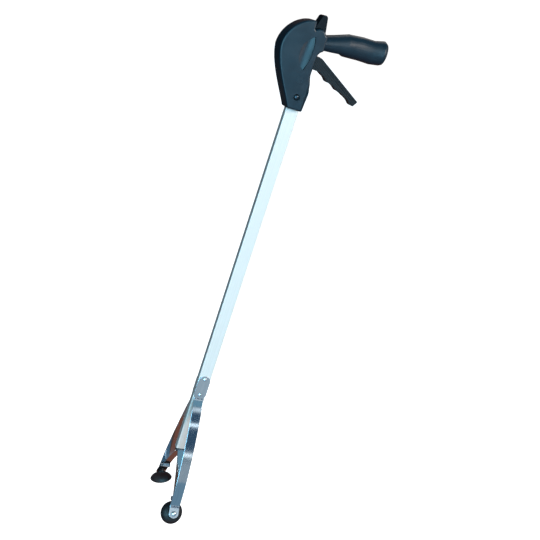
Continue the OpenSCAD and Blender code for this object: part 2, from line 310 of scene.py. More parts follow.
class EffectShelf:
    """Builds the shared effects and places them in materials."""

    def __init__(self) -> None:
        """Builds every group once."""
        self.groups = {effect: self.build(effect) for effect in Effect}

    def build(self, effect: Effect) -> bpy.types.NodeTree:
        """Makes one effect's node group.

        Args:
            effect: which one.

        Returns:
            The group's tree.
        """
        tree = bpy.data.node_groups.new(effect.value, "ShaderNodeTree")
        plan = PLANS[effect]
        for name, value in plan.inputs.items():
            socket = tree.interface.new_socket(name, in_out="INPUT", socket_type="NodeSocketFloat")
            socket.default_value = value
        for name in plan.outputs:
            tree.interface.new_socket(name, in_out="OUTPUT", socket_type="NodeSocketFloat")
        bench = Bench(tree)
        inside = bench.put("NodeGroupInput")
        outside = bench.put("NodeGroupOutput")
        draw = {
            Effect.GRAIN: self.draw_grain,
            Effect.WEAR: self.draw_wear,
            Effect.DUST: self.draw_dust,
            Effect.DRAWN: self.draw_lines,
            Effect.HANDLED: self.draw_handling,
            Effect.CARD: self.draw_card,
        }[effect]
        for name, socket in draw(bench, inside.outputs).items():
            bench.feed(outside.inputs[name], socket)
        return tree

    @staticmethod
    def draw_grain(bench: Bench, given: dict) -> dict[str, bpy.types.NodeSocket]:
        """Fine pebbled grain of a mould, and broad soft mottling.

        Args:
            bench: the group's bench.
            given: the group's input sockets.

        Returns:
            The outputs by name.
        """
        place = bench.object_place()
        cells = bench.put("ShaderNodeTexVoronoi", {"feature": "SMOOTH_F1"}, Vector=place,
                          Scale=given["Scale"])
        fine = bench.noise(place, given["Scale"], 3.0)
        broad = bench.noise(place, given["Mottle"], 4.0)
        return {
            "Height": bench.math("MULTIPLY", fine, cells.outputs["Distance"]),
            "Mottling": bench.ramp(broad, 0.3, 0.7, smooth=True),
        }

    @staticmethod
    def draw_wear(bench: Bench, given: dict) -> dict[str, bpy.types.NodeSocket]:
        """A broken mask along the outer edges.

        Args:
            bench: the group's bench.
            given: the group's input sockets.

        Returns:
            The output by name.
        """
        edge = bench.put("ShaderNodeNewGeometry").outputs["Pointiness"]
        near_edge = bench.ramp(edge, 0.52, 0.62, smooth=True)
        spots = bench.noise(bench.object_place(), given["Breakup"], 5.0)
        broken = bench.ramp(spots, 0.42, 0.66, smooth=True)
        mask = bench.math("MULTIPLY", near_edge, broken)
        return {"Mask": bench.math("MULTIPLY", mask, given["Reach"])}

    @staticmethod
    def draw_dust(bench: Bench, given: dict) -> dict[str, bpy.types.NodeSocket]:
        """Dust that settles on what faces up.

        Args:
            bench: the group's bench.
            given: the group's input sockets.

        Returns:
            The output by name.
        """
        normal = bench.put("ShaderNodeNewGeometry").outputs["Normal"]
        up = bench.put("ShaderNodeSeparateXYZ", None, Vector=normal).outputs["Z"]
        facing = bench.ramp(up, 0.3, 1.0, smooth=True)
        specks = bench.noise(bench.object_place(), given["Scale"], 6.0)
        broken = bench.ramp(specks, 0.45, 0.75)
        mask = bench.math("MULTIPLY", facing, broken)
        return {"Mask": bench.math("MULTIPLY", mask, given["Amount"])}

    @staticmethod
    def draw_lines(bench: Bench, given: dict) -> dict[str, bpy.types.NodeSocket]:
        """Fine drawing lines that run along Z.

        Args:
            bench: the group's bench.
            given: the group's input sockets.

        Returns:
            The outputs by name.
        """
        scale = bench.put("ShaderNodeCombineXYZ", None, X=given["Across"], Y=given["Across"],
                          Z=given["Along"])
        place = bench.stretched(bench.object_place(), scale.outputs["Vector"])
        fine = bench.noise(place, 1.0, 3.0)
        coarse = bench.noise(place, 0.14, 2.0)
        return {
            "Height": bench.math("MULTIPLY", fine, 0.5),
            "Streaks": bench.ramp(coarse, 0.35, 0.65, smooth=True),
        }

    @staticmethod
    def draw_handling(bench: Bench, given: dict) -> dict[str, bpy.types.NodeSocket]:
        """Large soft marks left by hands.

        Args:
            bench: the group's bench.
            given: the group's input sockets.

        Returns:
            The output by name.
        """
        marks = bench.put("ShaderNodeTexNoise", None, Vector=bench.object_place(),
                          Scale=given["Scale"], Detail=5.0, Distortion=1.2)
        soft = bench.ramp(marks.outputs["Fac"], 0.35, 0.7, smooth=True)
        return {"Mask": bench.math("MULTIPLY", soft, given["Contrast"])}

    @staticmethod
    def draw_card(bench: Bench, given: dict) -> dict[str, bpy.types.NodeSocket]:
        """A soft-edged card seen round the object, bounded by elevation and azimuth in degrees.

        Args:
            bench: the group's bench.
            given: the group's input sockets.

        Returns:
            The output by name.
        """
        masks = []
        for angle, low, high in (("Elevation", "Low", "High"), ("Azimuth", "Left", "Right")):
            for limit, sign in ((low, 1.0), (high, -1.0)):
                past = bench.math("SUBTRACT", given[angle], given[limit])
                inward = bench.math("MULTIPLY", past, sign)
                share = bench.math("DIVIDE", inward, given["Soft"])
                masks.append(bench.ramp(share, -0.5, 0.5, smooth=True))
        first = bench.math("MULTIPLY", masks[0], masks[1])
        second = bench.math("MULTIPLY", masks[2], masks[3])
        return {"Mask": bench.math("MULTIPLY", first, second)}

    def place(self, bench: Bench, effect: Effect, **inputs: Source) -> bpy.types.NodeSocketStandard:
        """Puts an effect in a tree.

        Args:
            bench: the tree's bench.
            effect: which effect.
            **inputs: its values there.

        Returns:
            The group node's outputs.
        """
        node = bench.put("ShaderNodeGroup", {"node_tree": self.groups[effect]}, **inputs)
        return node.outputs


SHELF = EffectShelf()


# ---------------------------------------------------------------- finishes


@dataclass(frozen=True)
class MouldedPlastic:
    """Dark injection-moulded plastic with a fine grain, and ribs where they have a pitch."""

    name: str
    colour: Triple
    shade: Triple
    roughness: float = 0.34
    grain: float = 0.10
    worn: Triple = (0.10, 0.13, 0.16)
    dusty: Triple = (0.30, 0.31, 0.32)
    wear: float = 0.5
    dust: float = 0.15
    specular: float = 0.5
    rib_pitch: float = 0.0
    rib_slope: float = 30.4
    rib_height: float = 1.2

    def ribbed(self, bench: Bench, height: Source) -> Source:
        """Adds fine ribs that run down the trigger.

        Args:
            bench: the material's bench.
            height: the height so far.

        Returns:
            The height with the ribs.
        """
        if not self.rib_pitch:
            return height
        turn = math.radians(self.rib_slope)
        axes = bench.put("ShaderNodeSeparateXYZ", None, Vector=bench.object_place()).outputs
        slant = bench.math("MULTIPLY", axes["X"], math.sin(turn))
        rise = bench.math("MULTIPLY", axes["Z"], math.cos(turn))
        along = bench.math("MULTIPLY", bench.math("ADD", slant, rise), math.tau / self.rib_pitch)
        wave = bench.ramp(bench.math("SINE", along), -0.4, 0.6, (0.0, self.rib_height),
                          smooth=True)
        return bench.math("ADD", height, wave)

    def make(self) -> bpy.types.Material:
        """Builds the material.

        Returns:
            The material.
        """
        material, bench, shader = new_surface(self.name)
        grain = SHELF.place(bench, Effect.GRAIN, Scale=2200.0, Mottle=45.0)
        wear = SHELF.place(bench, Effect.WEAR, Reach=self.wear, Breakup=260.0)["Mask"]
        dust = SHELF.place(bench, Effect.DUST, Amount=self.dust, Scale=700.0)["Mask"]
        marks = SHELF.place(bench, Effect.HANDLED, Scale=28.0, Contrast=0.10)["Mask"]
        body = bench.mix(grain["Mottling"], self.colour, self.shade)
        edged = bench.mix(wear, body, self.worn)
        bench.feed(shader.inputs["Base Color"], bench.mix(dust, edged, self.dusty))
        rough = bench.math("MULTIPLY_ADD", dust, 0.3, self.roughness)
        bench.feed(shader.inputs["Roughness"], bench.math("ADD", rough, marks))
        bench.bump(shader, self.ribbed(bench, grain["Height"]), self.grain, 0.2 * MM)
        shader.inputs["Specular IOR Level"].default_value = self.specular
        return material


@dataclass(frozen=True)
class DrawnMetal:
    """Metal with fine lines along its length, such as extruded tube or rolled strip."""

    name: str
    colour: Triple
    streak: Triple
    roughness: float
    spread: float = 0.08
    lines: float = 0.08
    metallic: float = 1.0
    waviness: float = 0.0
    rubbed: Triple = (0.95, 0.96, 0.97)

    def make(self) -> bpy.types.Material:
        """Builds the material.

        Returns:
            The material.
        """
        material, bench, shader = new_surface(self.name)
        drawn = SHELF.place(bench, Effect.DRAWN, Across=5200.0, Along=18.0)
        marks = SHELF.place(bench, Effect.HANDLED, Scale=40.0, Contrast=0.5)["Mask"]
        wear = SHELF.place(bench, Effect.WEAR, Reach=0.35, Breakup=400.0)["Mask"]
        streaked = bench.mix(drawn["Streaks"], self.colour, self.streak)
        bench.feed(shader.inputs["Base Color"], bench.mix(wear, streaked, self.rubbed))
        rough = bench.math("MULTIPLY_ADD", drawn["Streaks"], self.spread, self.roughness)
        bench.feed(shader.inputs["Roughness"],
                   bench.math("MULTIPLY_ADD", marks, self.spread, rough))
        shader.inputs["Metallic"].default_value = self.metallic
        height = bench.math("MULTIPLY", drawn["Height"], self.lines)
        if self.waviness:
            ripple = bench.noise(bench.object_place(), 22.0, 1.0)
            height = bench.math("MULTIPLY_ADD", ripple, self.waviness, height)
        bench.bump(shader, height, 1.0, 0.2 * MM)
        return material


@dataclass(frozen=True)
class TurnedMetal:
    """Small plated or blacked hardware, with fine pitting and rubbed edges."""

    name: str
    colour: Triple
    rubbed: Triple
    roughness: float = 0.25
    metallic: float = 1.0

    def make(self) -> bpy.types.Material:
        """Builds the material.

        Returns:
            The material.
        """
        material, bench, shader = new_surface(self.name)
        grain = SHELF.place(bench, Effect.GRAIN, Scale=3500.0, Mottle=300.0)
        wear = SHELF.place(bench, Effect.WEAR, Reach=0.8, Breakup=900.0)["Mask"]
        bench.feed(shader.inputs["Base Color"], bench.mix(wear, self.colour, self.rubbed))
        bench.feed(shader.inputs["Roughness"],
                   bench.math("MULTIPLY_ADD", grain["Mottling"], 0.12, self.roughness))
        shader.inputs["Metallic"].default_value = self.metallic
        bench.bump(shader, grain["Height"], 0.08, 0.1 * MM)
        return material


@dataclass(frozen=True)
class CupRubber:
    """Soft black rubber with a bloom and mould grain."""

    name: str
    colour: Triple = (0.005, 0.005, 0.006)
    bloom: Triple = (0.010, 0.010, 0.012)
    worn: Triple = (0.08, 0.085, 0.09)
    dusty: Triple = (0.25, 0.25, 0.25)
    roughness: float = 0.42

    def make(self) -> bpy.types.Material:
        """Builds the material.

        Returns:
            The material.
        """
        material, bench, shader = new_surface(self.name)
        grain = SHELF.place(bench, Effect.GRAIN, Scale=3000.0, Mottle=160.0)
        dust = SHELF.place(bench, Effect.DUST, Amount=0.04, Scale=1200.0)["Mask"]
        wear = SHELF.place(bench, Effect.WEAR, Reach=0.3, Breakup=500.0)["Mask"]
        body = bench.mix(grain["Mottling"], self.colour, self.bloom)
        greyed = bench.mix(wear, body, self.worn)
        bench.feed(shader.inputs["Base Color"], bench.mix(dust, greyed, self.dusty))
        bench.feed(shader.inputs["Roughness"],
                   bench.math("MULTIPLY_ADD", grain["Mottling"], 0.15, self.roughness))
        bench.bump(shader, grain["Height"], 0.12, 0.2 * MM)
        return material


def new_surface(name: str) -> tuple[bpy.types.Material, Bench, bpy.types.Node]:
    """Starts a material with one principled shader.

    Args:
        name: the material's name.

    Returns:
        The material, its bench and the shader node.
    """
    material = bpy.data.materials.new(name)
    material.use_nodes = True
    bench = Bench(material.node_tree)
    shader = bench.put("ShaderNodeBsdfPrincipled")
    bench.put("ShaderNodeOutputMaterial", None, Surface=shader.outputs["BSDF"])
    return material, bench, shader


FINISHES = {
    "housing_plastic": MouldedPlastic("housing_plastic_skin", (0.0016, 0.014, 0.025),
                                      (0.0024, 0.018, 0.031), dust=0.0, wear=0.05,
                                      specular=0.40),
    "trigger_plastic": MouldedPlastic("trigger_plastic_skin", (0.003, 0.007, 0.010),
                                      (0.004, 0.009, 0.013), roughness=0.42, dust=0.0, wear=0.1,
                                      specular=0.2, grain=0.32, rib_pitch=0.0026),
    "lock_plastic": MouldedPlastic("lock_plastic_skin", (0.003, 0.005, 0.008),
                                   (0.004, 0.007, 0.010), roughness=0.34, dust=0.0, wear=0.1,
                                   specular=0.12),
    "slider_plastic": MouldedPlastic("slider_plastic_skin", (0.02, 0.022, 0.026),
                                     (0.03, 0.032, 0.036), roughness=0.45),
    "tube_aluminium": DrawnMetal("tube_aluminium_skin", (0.90, 0.755, 0.695), (0.86, 0.725, 0.665),
                               roughness=0.36, spread=0.06, lines=0.05, metallic=0.18),
    "spring_steel": DrawnMetal("spring_steel_skin", (0.66, 0.74, 0.80), (0.60, 0.69, 0.76),
                               roughness=0.07, spread=0.03, lines=0.008, waviness=0.03),
    "steel_hardware": TurnedMetal("steel_hardware_skin", (0.62, 0.64, 0.67), (0.8, 0.81, 0.83)),
    "blacked_screw": TurnedMetal("blacked_screw_skin", (0.03, 0.045, 0.06), (0.3, 0.34, 0.38),
                                 roughness=0.22, metallic=0.8),
    "rivet_aluminium": TurnedMetal("rivet_aluminium_skin", (0.86, 0.89, 0.92), (0.95, 0.96, 0.97),
                                   roughness=0.2),
    "cup_rubber": CupRubber("cup_rubber_skin"),
}


class Dresser:
    """Makes each finish once and puts it on pieces."""

    def __init__(self) -> None:
        """Makes all the finishes."""
        self.materials = {slot: finish.make() for slot, finish in FINISHES.items()}

    def dress(self, piece: bpy.types.Object, slot: str) -> None:
        """Gives a piece its finish.

        Args:
            piece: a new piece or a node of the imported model.
            slot: the record's material slot.
        """
        if piece.material_slots:
            for material_slot in piece.material_slots:
                material_slot.material = self.materials[slot]
        else:
            piece.data.materials.append(self.materials[slot])


DRESSER = Dresser()


# ---------------------------------------------------------------- mesh building


def bezier(a: Pair, b: Pair, c: Pair, d: Pair, count: int) -> list[Pair]:
    """Points on a cubic curve, without its last point.

    Args:
        a: start.
        b: first handle.
        c: second handle.
        d: end.
        count: how many points.

    Returns:
        The points.
    """
    points = []
    for step in range(count):
        t = step / count
        u = 1.0 - t
        weights = (u * u * u, 3 * u * u * t, 3 * u * t * t, t * t * t)
        points.append(tuple(sum(w * p[k] for w, p in zip(weights, (a, b, c, d))) for k in (0, 1)))
    return points


def mesh_piece(name: str, points: list[Vector],
               faces: list[tuple[int, ...]]) -> bpy.types.Object:
    """Makes an object from points in millimetres.

    Args:
        name: the piece's name.
        points: its vertices.
        faces: its faces, by vertex number.

    Returns:
        The object, linked to the scene.
    """
    mesh = bpy.data.meshes.new(name)
    mesh.from_pydata([p * MM for p in points], [], faces)
    work = bmesh.new()
    work.from_mesh(mesh)
    bmesh.ops.remove_doubles(work, verts=work.verts, dist=WELD_GAP)
    bmesh.ops.recalc_face_normals(work, faces=work.faces)
    work.to_mesh(mesh)
    work.free()
    mesh.shade_smooth()
    mesh.set_sharp_from_angle(angle=SHARP_TURN)
    piece = bpy.data.objects.new(name, mesh)
    bpy.context.scene.collection.objects.link(piece)
    return piece


def lofted(name: str, rings: list[list[Vector]]) -> bpy.types.Object:
    """Joins closed rings of equal length into a skin, and closes both ends.

    Args:
        name: the piece's name.
        rings: the rings, in order.

    Returns:
        The object.
    """
    size = len(rings[0])
    faces = []
    for row in range(len(rings) - 1):
        for k in range(size):
            here, there = row * size, (row + 1) * size
            after = (k + 1) % size
            faces.append((here + k, here + after, there + after, there + k))
    faces.append(tuple(range(size)))
    faces.append(tuple(range((len(rings) - 1) * size, len(rings) * size)))
    return mesh_piece(name, [p for ring in rings for p in ring], faces)


def lathed(name: str, profile: list[Pair], seat: Matrix, count: int = 72) -> bpy.types.Object:
    """Turns a profile of radius and height about an axis.

    Args:
        name: the piece's name.
        profile: radius and height, in order; the ends lie on the axis.
        seat: where the axis and its zero height are, in millimetres.
        count: how many steps round.

    Returns:
        The object.
    """
    points, rows = [], []
    for radius, height in profile:
        steps = count if radius > ON_AXIS else 1
        rows.append(list(range(len(points), len(points) + steps)))
        for k in range(steps):
            turn = math.tau * k / count
            points.append(seat @ Vector((radius * math.cos(turn), radius * math.sin(turn), height)))
    faces = []
    for low, high in zip(rows, rows[1:]):
        for k in range(count):
            corners = (low[k % len(low)], low[(k + 1) % len(low)],
                       high[(k + 1) % len(high)], high[k % len(high)])
            loop = tuple(dict.fromkeys(corners))
            if len(loop) > 2:
                faces.append(loop)
    return mesh_piece(name, points, faces)


def quarter_turn(steps: int) -> list[float]:
    """Angles from nothing to a quarter turn, both ends included.

    Args:
        steps: how many steps there are.

    Returns:
        The angles in radians.
    """
    return [math.pi / 2 * step / steps for step in range(steps + 1)]


def eased(knots: Sequence[Pair], steps: int = 4) -> list[Pair]:
    """A smooth curve through points.

    Args:
        knots: the points that it passes.
        steps: how many points it has from one knot to the next.

    Returns:
        The curve's points, with both ends.
    """
    padded = [knots[0], *knots, knots[-1]]
    curve = []
    for i in range(len(knots) - 1):
        p0, p1, p2, p3 = padded[i:i + 4]
        for step in range(steps):
            t = step / steps
            curve.append(tuple(
                0.5 * (2 * p1[k] + (p2[k] - p0[k]) * t
                       + (2 * p0[k] - 5 * p1[k] + 4 * p2[k] - p3[k]) * t * t
                       + (3 * p1[k] - p0[k] - 3 * p2[k] + p3[k]) * t * t * t)
                for k in (0, 1)))
    return [*curve, knots[-1]]


def rounded_section(half_width: float, half_thick: float, corner: float,
                    steps: int = 3) -> list[Pair]:
    """A rectangle with rounded corners, as a closed ring.

    Each corner has one guard point on the flat at either end, so that the flats shade flat.

    Args:
        half_width: half its first side.
        half_thick: half its second side.
        corner: the corner radius.
        steps: how many points each corner has, less one.

    Returns:
        The ring's points.
    """
    room = 0.9 * min(half_thick, half_width)
    corner = min(corner, room)
    guard = min(corner * 0.7, 0.9 * (min(half_thick, half_width) - corner))
    ring = []
    for quarter, (sx, sy) in enumerate(((1, 1), (-1, 1), (-1, -1), (1, -1))):
        middle = (sx * (half_width - corner), sy * (half_thick - corner))
        corners = [math.pi / 2 * (quarter + step / steps) for step in range(steps + 1)]
        arc = [(middle[0] + corner * math.cos(turn), middle[1] + corner * math.sin(turn))
               for turn in corners]
        start, end = corners[0], corners[-1]
        ring.append((arc[0][0] + guard * math.sin(start), arc[0][1] - guard * math.cos(start)))
        ring += arc
        ring.append((arc[-1][0] - guard * math.sin(end), arc[-1][1] + guard * math.cos(end)))
    return ring


@dataclass
class StripPath:
    """A centreline in the plane of the jaws, out from the centre plane and up, with a width."""

    points: list[Pair]
    half_widths: list[float]
    side: Side

    def rings(self, thick: float, corner: float) -> list[list[Vector]]:
        """The strip's cross-sections.

        Args:
            thick: the strip's thickness.
            corner: the radius of its long edges.

        Returns:
            One ring for each point of the path.
        """
        rings = []
        last = len(self.points) - 1
        for i, (out, height) in enumerate(self.points):
            before, after = self.points[max(i - 1, 0)], self.points[min(i + 1, last)]
            run = Vector((after[0] - before[0], after[1] - before[1])).normalized()
            ring = []
            for across, through in rounded_section(self.half_widths[i], thick / 2, corner):
                y = out - run.y * through
                z = height + run.x * through
                ring.append(Vector((across, self.side.value * y, z)))
            rings.append(ring)
        return rings


def finish_cad(piece: bpy.types.Object, width: float) -> None:
    """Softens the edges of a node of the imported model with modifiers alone.

    Args:
        piece: the node's object.
        width: how wide the softened edges are, in millimetres.
    """
    mesh = piece.data
    normals = mesh.attributes.get("custom_normal")
    if normals is not None:
        mesh.attributes.remove(normals)
    mesh.shade_smooth()
    weld = piece.modifiers.new("joined_seams", "WELD")
    weld.merge_threshold = WELD_GAP
    bevel = piece.modifiers.new("soft_edges", "BEVEL")
    bevel.width = width * MM
    bevel.segments = 2
    bevel.limit_method = "ANGLE"
    bevel.angle_limit = SOFT_TURN
    bevel.use_clamp_overlap = True
    smooth = piece.modifiers.new("even_shading", "WEIGHTED_NORMAL")
    smooth.keep_sharp = True


# ---------------------------------------------------------------- the object


@dataclass
class NodeSet:
    """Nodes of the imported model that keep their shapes: name, finish and edge width in mm."""

    nodes: dict[str, bpy.types.Object]
    softened: tuple[tuple[str, str, float], ...] = ()

    def build(self) -> list[str]:
        """Softens and dresses the nodes.

        Returns:
            The names of the finished pieces.
        """
        for name, slot, width in self.softened:
            finish_cad(self.nodes[name], width)
            DRESSER.dress(self.nodes[name], slot)
        return [name for name, _, _ in self.softened]


@dataclass
class Handle(NodeSet):
    """The housing, its screws, and the parts that turn in it."""

    softened: tuple[tuple[str, str, float], ...] = (
        ("near_housing_shell", "housing_plastic", 0.4),
        ("far_housing_shell", "housing_plastic", 0.4),
        ("housing_screws", "steel_hardware", 0.15),
        ("tube_screws", "blacked_screw", 0.15),
        ("trigger_pivot_pin", "steel_hardware", 0.2),
        ("lock_pivot_pin", "steel_hardware", 0.2),
        ("trigger_lever", "trigger_plastic", 1.2),
        ("lock_lever", "lock_plastic", 0.9),
    )


@dataclass
class TubeAndRod(NodeSet):
    """The flat tube and what slides in it."""

    softened: tuple[tuple[str, str, float], ...] = (
        ("flat_tube", "tube_aluminium", 0.1),
        ("finger_rivets", "rivet_aluminium", 0.1),
        ("pull_rod", "steel_hardware", 0.1),
        ("rod_yoke", "steel_hardware", 0.2),
        ("rod_cross_pin", "steel_hardware", 0.2),
        ("crosshead", "slider_plastic", 0.2),
        ("crosshead_pins", "steel_hardware", 0.1),
    )


@dataclass
class Jaw:
    """One sprung finger with its cup, pin and strap. Sizes are in millimetres."""

    side: Side
    bow: float
    nodes: dict[str, bpy.types.Object]
    strip_top: float = -408.6
    bend: Pair = (5.25, -446.0)
    waist: float = -443.6
    taper_foot: float = -443.0
    taper_height: float = 4.0
    root_half: float = 9.5
    blade_half: float = 7.5
    end_half: float = 0.05
    thick: float = 1.0
    edge_radius: float = 0.32
    crease_length: float = 2.5
    top_handle: Pair = (11.0, -34.0)
    foot_handle: Pair = (-8.0, 46.0)
    foot_share: float = 0.85
    tab_centre: Pair = (56.5, -613.0)
    tab_reach: float = 12.0
    tab_tilt: float = 26.0
    tab_kick: float = 3.5
    tip_trim: float = 0.8
    ear_x: float = 6.7
    ear_layers: tuple[Pair, ...] = ((-0.6, 0.25), (-0.4, 0.0), (0.4, 0.0), (0.6, 0.25))
    ear_outline: tuple[Pair, ...] = (
        (4.6, -1.5), (1.2, -3.3), (-1.8, -2.6), (-2.7, 0.0), (-1.8, 2.6), (1.2, 3.3), (4.2, 9.0))
    cup_knots: tuple[Pair, ...] = (
        (0.0, 0.5), (5.2, 0.5), (5.75, 0.75), (5.95, 1.5), (5.5, 2.6), (5.45, 3.6), (6.2, 4.7),
        (8.5, 5.9), (11.0, 6.85), (13.3, 8.1), (15.2, 9.7), (16.4, 11.2), (16.9, 11.9),
        (16.8, 12.3), (16.2, 12.4), (15.4, 12.3), (13.9, 10.9), (11.6, 9.2), (8.4, 7.9),
        (4.2, 6.9), (0.0, 6.7))
    kept_nodes: tuple[tuple[str, str], ...] = (
        ("tip_pin", "steel_hardware"), ("cup_rivet", "rivet_aluminium"),
        ("pull_strap", "spring_steel"))
    made: list[str] = field(default_factory=list)

    @property
    def body(self) -> str:
        """The body that the finger's free length moves with.

        Returns:
            The body's name.
        """
        return f"{self.side.label}_jaw"

    def tab_run(self, kick: float = 0.0) -> Pair:
        """The direction in which the tab runs down and out.

        Args:
            kick: how many degrees further out it runs.

        Returns:
            The direction, out and up.
        """
        turn = math.radians(self.tab_tilt + kick)
        return math.sin(turn), -math.cos(turn)

    def path(self) -> StripPath:
        """The strip's centreline from its round top to its round tip.

        Returns:
            The path with its widths.
        """
        run = self.tab_run(self.tab_kick)
        crease = (self.tab_centre[0] - run[0] * self.tab_reach,
                  self.tab_centre[1] - run[1] * self.tab_reach)

        def down_tab(along: float) -> Pair:
            """A point of the tab's centreline.

            Args:
                along: its distance from the crease.

            Returns:
                The point.
            """
            return crease[0] + run[0] * along, crease[1] + run[1] * along

        out, bend_height = self.bend
        top, foot = self.top_handle, self.foot_handle
        blade = bezier(self.bend, (out + top[0] + self.bow, bend_height + top[1]),
                       (crease[0] + foot[0] + self.foot_share * self.bow, crease[1] + foot[1]),
                       crease, 48)
        shoulder = self.strip_top - self.root_half
        points: list[Pair] = []
        widths: list[float] = []
        for turn in quarter_turn(8):
            points.append((out, shoulder + self.root_half * math.cos(turn)))
            widths.append(max(self.root_half * math.sin(turn), self.end_half))
        for step in range(1, 17):
            z = shoulder + step / 16 * (self.waist - shoulder)
            points.append((out, z))
            share = min(max((z - self.taper_foot) / self.taper_height, 0.0), 1.0)
            ease = share * share * (3 - 2 * share)
            widths.append(self.blade_half + (self.root_half - self.blade_half) * ease)
        points += bezier((out, self.waist), (out, bend_height + 0.6),
                         (blade[0][0] + 0.1, blade[0][1] + 0.3), blade[2], 6)
        points += blade[2:-1]
        points += bezier(blade[-1], (crease[0], crease[1] + 0.9), down_tab(0.8),
                         down_tab(self.crease_length), 6)
        flat = self.tab_reach - self.crease_length
        points += [down_tab(self.crease_length + flat * step / 5) for step in range(5)]
        widths += [self.blade_half] * (len(points) - len(widths))
        for turn in quarter_turn(12):
            reach = self.tab_reach + (self.blade_half - self.tip_trim) * math.sin(turn)
            points.append(down_tab(reach))
            widths.append(max(self.blade_half * math.cos(turn), self.end_half))
        return StripPath(points, widths, self.side)

    def build_strip(self) -> None:
        """Makes the one continuous strip, which bends where it leaves the tube."""
        label = self.side.label
        strip = lofted(f"{label}_finger_strip", self.path().rings(self.thick, self.edge_radius))
        DRESSER.dress(strip, "spring_steel")
        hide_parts(f"{label}_finger_root", f"{label}_finger")
        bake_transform(strip)
        self.made.append(strip.name)

    def build_ears(self) -> None:
        """Makes the two ears that hold the tip pin."""
        label = self.side.label
        low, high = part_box(f"{label}_tip_pin")
        pin = ((low + high) / 2) / MM
        outline = eased([(abs(pin.y) + out, pin.z + up) for out, up in self.ear_outline])
        for number, x in enumerate((-self.ear_x, self.ear_x)):
            rings = []
            for shift, shrink in self.ear_layers:
                ring = []
                for y, z in outline:
                    step = Vector((abs(pin.y) - y, pin.z - z)).normalized() * shrink
                    ring.append(Vector((x + shift, self.side.value * (y + step.x), z + step.y)))
                rings.append(ring)
            ear = lofted(f"{label}_pin_ear_{number + 1}", rings)
            DRESSER.dress(ear, "spring_steel")
            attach(ear, self.body)
            self.made.append(ear.name)

    def cup_seat(self) -> Matrix:
        """Finds the cup's axis, which leaves the tab's inner face.

        Returns:
            The seat as a matrix in millimetres.
        """
        run = self.tab_run()
        s = self.side.value
        axis = Vector((0.0, s * run[1], -run[0]))
        across = Vector((1.0, 0.0, 0.0))
        third = axis.cross(across)
        centre = Vector((0.0, s * self.tab_centre[0], self.tab_centre[1]))
        columns = Matrix((across, third, axis)).transposed().to_4x4()
        return Matrix.Translation(centre) @ columns

    def build_cup(self) -> None:
        """Turns the suction cup, with a thin flared lip and a stepped neck."""
        label = self.side.label
        cup = lathed(f"{label}_rubber_cup", eased(self.cup_knots), self.cup_seat())
        DRESSER.dress(cup, "cup_rubber")
        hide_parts(f"{label}_suction_cup")
        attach(cup, self.body)
        self.made.append(cup.name)

    def build(self) -> list[str]:
        """Makes the jaw's pieces and dresses its nodes.

        Returns:
            The names of the finished pieces.
        """
        label = self.side.label
        self.build_strip()
        self.build_ears()
        self.build_cup()
        for name, slot in self.kept_nodes:
            piece = self.nodes[f"{label}_{name}"]
            finish_cad(piece, 0.1)
            DRESSER.dress(piece, slot)
            self.made.append(piece.name)
        return self.made


# ---------------------------------------------------------------- the studio


@dataclass(frozen=True)
class StudioCard:
    """A soft card round the object, by elevation and azimuth in degrees; 0 is in front."""

    low: float
    high: float
    left: float
    right: float
    colour: Triple
    soft: float = 4.0


@dataclass(frozen=True)
class Softbox:
    """One soft square lamp: its name, place, side in metres, power in watts and colour."""

    name: str
    place: Triple
    size: float
    power: float
    colour: Triple


def flat_sheet(name: str, low: Pair, high: Pair, z: float,
               material: bpy.types.Material) -> bpy.types.Object:
    """Lays a level rectangle.

    Args:
        name: its name.
        low: its least X and Y.
        high: its greatest X and Y.
        z: its height.
        material: its finish.

    Returns:
        The object, linked to the scene.
    """
    mesh = bpy.data.meshes.new(name)
    corners = [(low[0], low[1], z), (high[0], low[1], z), (high[0], high[1], z),
               (low[0], high[1], z)]
    mesh.from_pydata(corners, [], [(0, 1, 2, 3)])
    mesh.materials.append(material)
    sheet = bpy.data.objects.new(name, mesh)
    bpy.context.scene.collection.objects.link(sheet)
    return sheet


